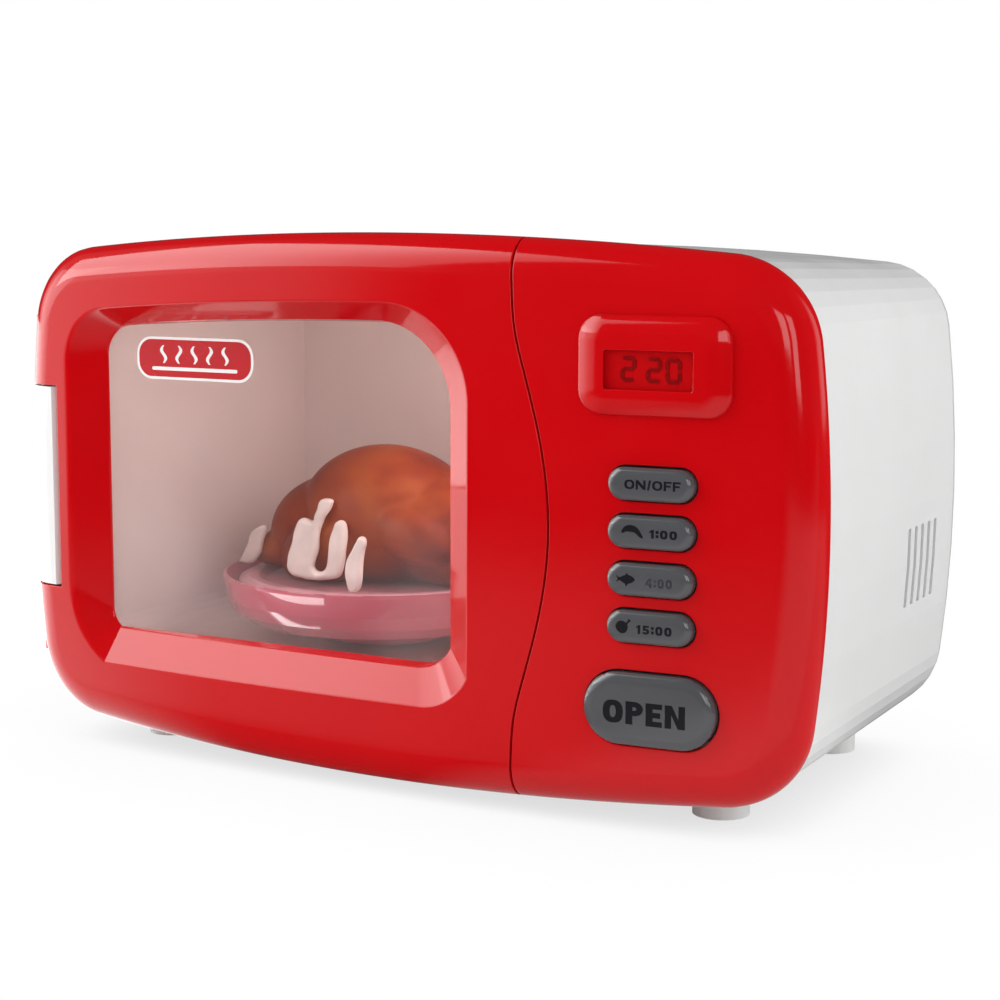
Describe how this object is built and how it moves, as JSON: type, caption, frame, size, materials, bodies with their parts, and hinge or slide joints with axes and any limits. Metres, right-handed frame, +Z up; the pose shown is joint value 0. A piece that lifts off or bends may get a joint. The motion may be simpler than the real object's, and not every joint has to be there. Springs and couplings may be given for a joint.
{
  "type": "toy microwave oven",
  "caption": "Toy microwave oven with a hinged window door, press buttons, a display, a turning dish with toy roast chicken, and a battery compartment.",
  "frame": {"origin": "centre of the footprint, on the surface that the feet stand on", "axes": "+Z up, +X to the right of a person facing the front, the door and panel face -Y"},
  "size_m": [0.3, 0.1589, 0.1802],
  "materials": {
    "red_plastic": "glossy moulded red plastic",
    "white_plastic": "glossy moulded white plastic",
    "liner_plastic": "smooth off-white plastic",
    "inner_plastic": "natural moulded plastic",
    "clear_window": "clear slightly hazy plastic sheet",
    "window_sticker": null,
    "display_lens": "tinted red lens",
    "display_dark": "dark red display glass",
    "button_grey": "dark grey glossy plastic with black print",
    "circuit_green": "solder-masked board",
    "key_rubber": "silicone",
    "foot_rubber": "rubber",
    "steel": "zinc-plated steel",
    "contact_metal": "nickel-plated spring steel",
    "speaker_black": "black paper cone and frame",
    "lamp_plastic": "diffusing plastic",
    "motor_yellow": "moulded gearbox",
    "cell_wrap": "printed film over steel",
    "wire_plastic": "wire insulation",
    "shaft_plastic": "moulded acetal",
    "dish_red_clear": "translucent red plastic",
    "chicken_brown": "painted soft plastic, golden brown",
    "garnish_pale": "painted soft plastic"
  },
  "bodies": {
    "housing": {"casing": "white_plastic", "rear_cover": "white_plastic", "front_frame": "white_plastic", "cavity_liner": "liner_plastic", "hinge_block": "white_plastic", "control_panel": "red_plastic", "display_bezel": "red_plastic", "display_window": "display_lens", "display_module": "display_dark", "display_digits": "display_dark", "circuit_board": "circuit_green", "key_pad": "key_rubber", "board_screws": "steel", "panel_screws": "steel", "frame_screws": "steel", "rear_screws": "steel", "hinge_block_screws": "steel", "speaker": "speaker_black", "lamp": "lamp_plastic", "lamp_lens": "lamp_plastic", "gear_motor": "motor_yellow", "motor_screws": "steel", "battery_box": "inner_plastic", "batteries": "cell_wrap", "battery_contacts": "contact_metal", "battery_wires": "wire_plastic", "motor_wires": "wire_plastic", "feet": "foot_rubber"},
    "door": {"door_shell": "red_plastic", "door_inner_frame": "white_plastic", "window_pane": "clear_window", "window_label": "window_sticker", "door_latch_hook": "white_plastic", "hinge_pins": "steel", "door_screws": "steel"},
    "key_on_off": {"button_on_off": "button_grey"},
    "key_1_00": {"button_1_00": "button_grey"},
    "key_4_00": {"button_4_00": "button_grey"},
    "key_15_00": {"button_15_00": "button_grey"},
    "key_open": {"button_open": "button_grey"},
    "latch": {"latch_slide": "inner_plastic"},
    "battery_lid": {"battery_door": "white_plastic", "battery_door_screw": "steel"},
    "turntable": {"drive_shaft": "shaft_plastic", "turntable_dish": "dish_red_clear"},
    "food": {"roast_chicken": "chicken_brown", "garnish": "garnish_pale"}
  },
  "joints": [
    {"name": "door_hinge", "type": "hinge", "parent": "housing", "child": "door", "pos_m": [-0.143, -0.0649, 0.092], "axis": [0, 0, -1], "range_deg": [0, 110]},
    {"name": "on_off_press", "type": "slide", "parent": "housing", "child": "key_on_off", "axis": [0, 1, 0], "range_m": [0, 0.0015], "stiffness_N_per_m": 500, "springref_m": -0.0006},
    {"name": "key_1_00_press", "type": "slide", "parent": "housing", "child": "key_1_00", "axis": [0, 1, 0], "range_m": [0, 0.0015], "stiffness_N_per_m": 500, "springref_m": -0.0006},
    {"name": "key_4_00_press", "type": "slide", "parent": "housing", "child": "key_4_00", "axis": [0, 1, 0], "range_m": [0, 0.0015], "stiffness_N_per_m": 500, "springref_m": -0.0006},
    {"name": "key_15_00_press", "type": "slide", "parent": "housing", "child": "key_15_00", "axis": [0, 1, 0], "range_m": [0, 0.0015], "stiffness_N_per_m": 500, "springref_m": -0.0006},
    {"name": "open_press", "type": "slide", "parent": "housing", "child": "key_open", "axis": [0, 1, 0], "range_m": [0, 0.003], "stiffness_N_per_m": 600, "springref_m": -0.0006},
    {"name": "latch_move", "type": "slide", "parent": "housing", "child": "latch", "axis": [1, 0, 0], "range_m": [0, 0.003]},
    {"name": "battery_lid_pull", "type": "slide", "parent": "housing", "child": "battery_lid", "axis": [0, 1, 0], "range_m": [0, 0.012]},
    {"name": "turntable_spin", "type": "hinge", "parent": "housing", "child": "turntable", "pos_m": [-0.0465, 0.0061, 0.038], "axis": [0, 0, 1], "continuous": true},
    {"name": "food_lift", "type": "slide", "parent": "turntable", "child": "food", "axis": [0, 0, 1], "range_m": [0, 0.04]}
  ],
  "couplings": [
    {"joint": "latch_move", "follows": "open_press", "ratio": 1}
  ]
}
